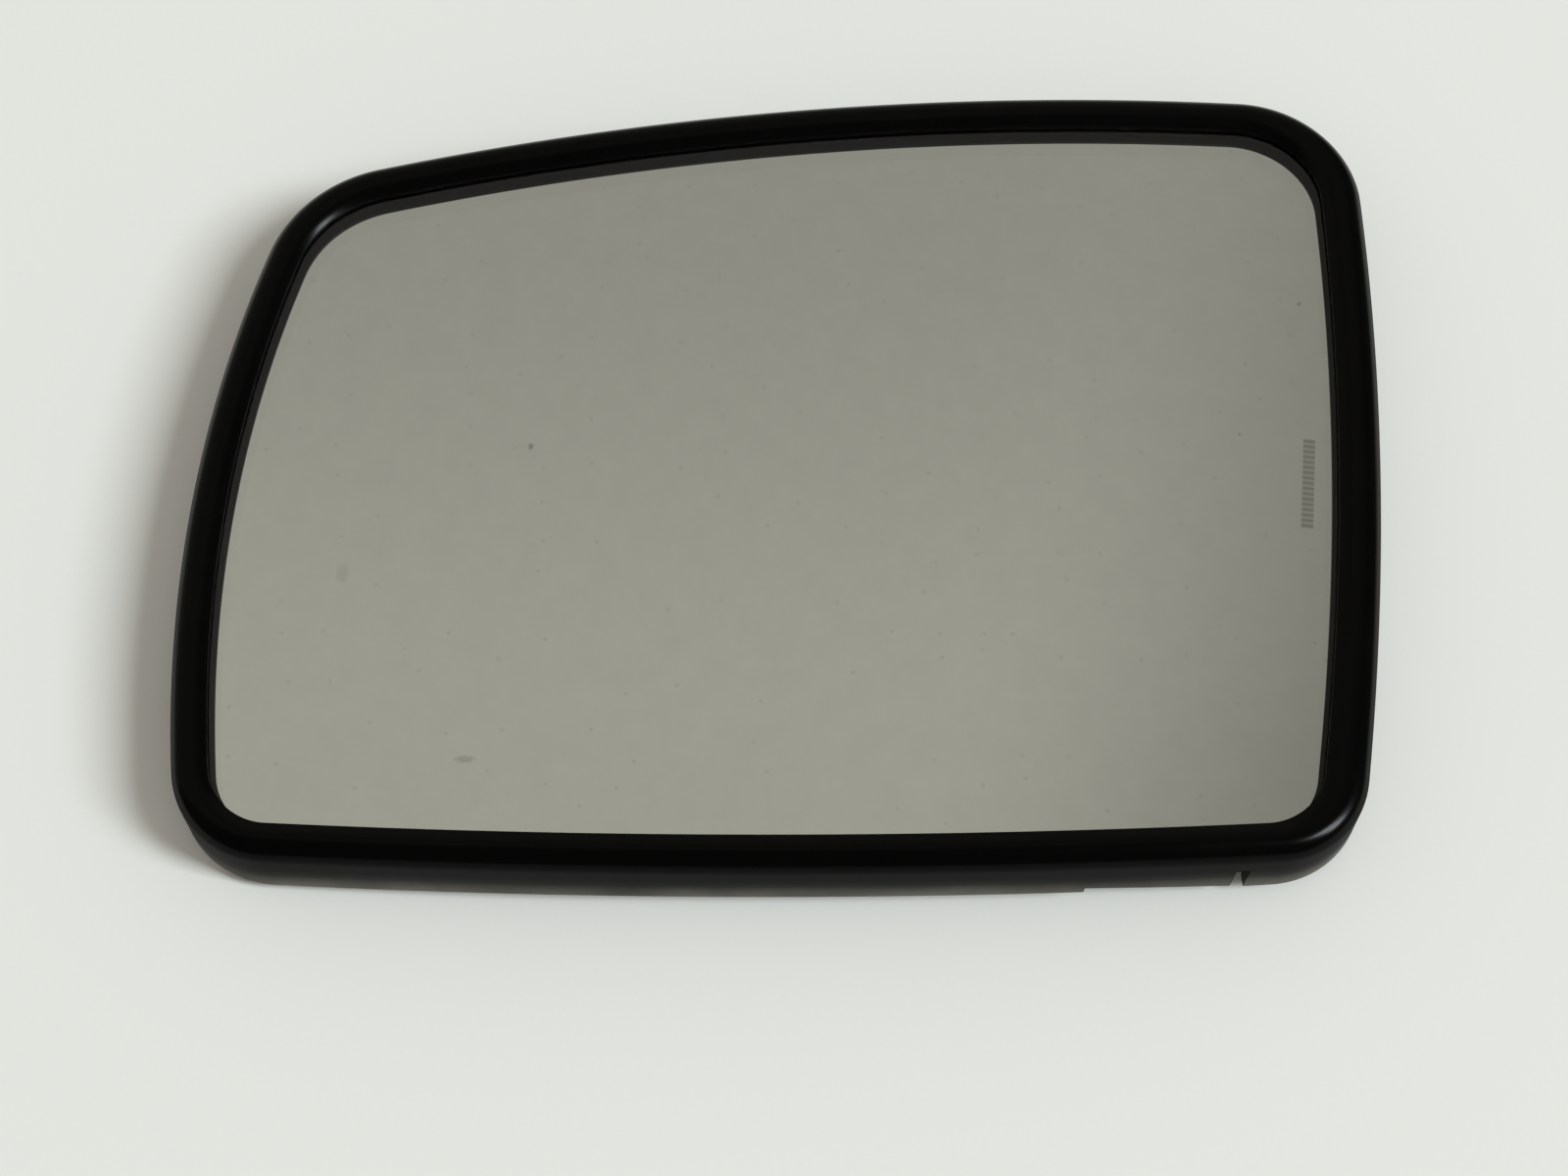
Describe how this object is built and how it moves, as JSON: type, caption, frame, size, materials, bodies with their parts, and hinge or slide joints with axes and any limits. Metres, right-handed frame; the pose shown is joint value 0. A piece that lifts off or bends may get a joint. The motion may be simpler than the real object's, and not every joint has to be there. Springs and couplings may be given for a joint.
{
  "type": "car door mirror glass",
  "caption": "Convex left-hand door mirror glass in a black moulded holder with a rounded bead, ribbed back, clip ring for the tilt actuator and heater blade terminals.",
  "frame": {"origin": "on the actuator axis, in the plane of the clip finger tips that the unit lies on", "axes": "+X inboard along the longest side, +Y up on the car, +Z the way the mirror faces"},
  "size_m": [0.2017, 0.1476, 0.0177],
  "materials": {
    "holder_plastic": "satin black moulding, smooth bead, finely grained back",
    "silvered_glass": "clear float glass, silvered on its back face",
    "heater_film": "matt dark polyester film",
    "terminal_metal": "rolled brass, slightly dull"
  },
  "bodies": {
    "root": {"mirror_holder": "holder_plastic", "mirror_glass": "silvered_glass", "heater_pad": "heater_film", "terminal_upper": "terminal_metal", "terminal_lower": "terminal_metal"}
  },
  "joints": []
}
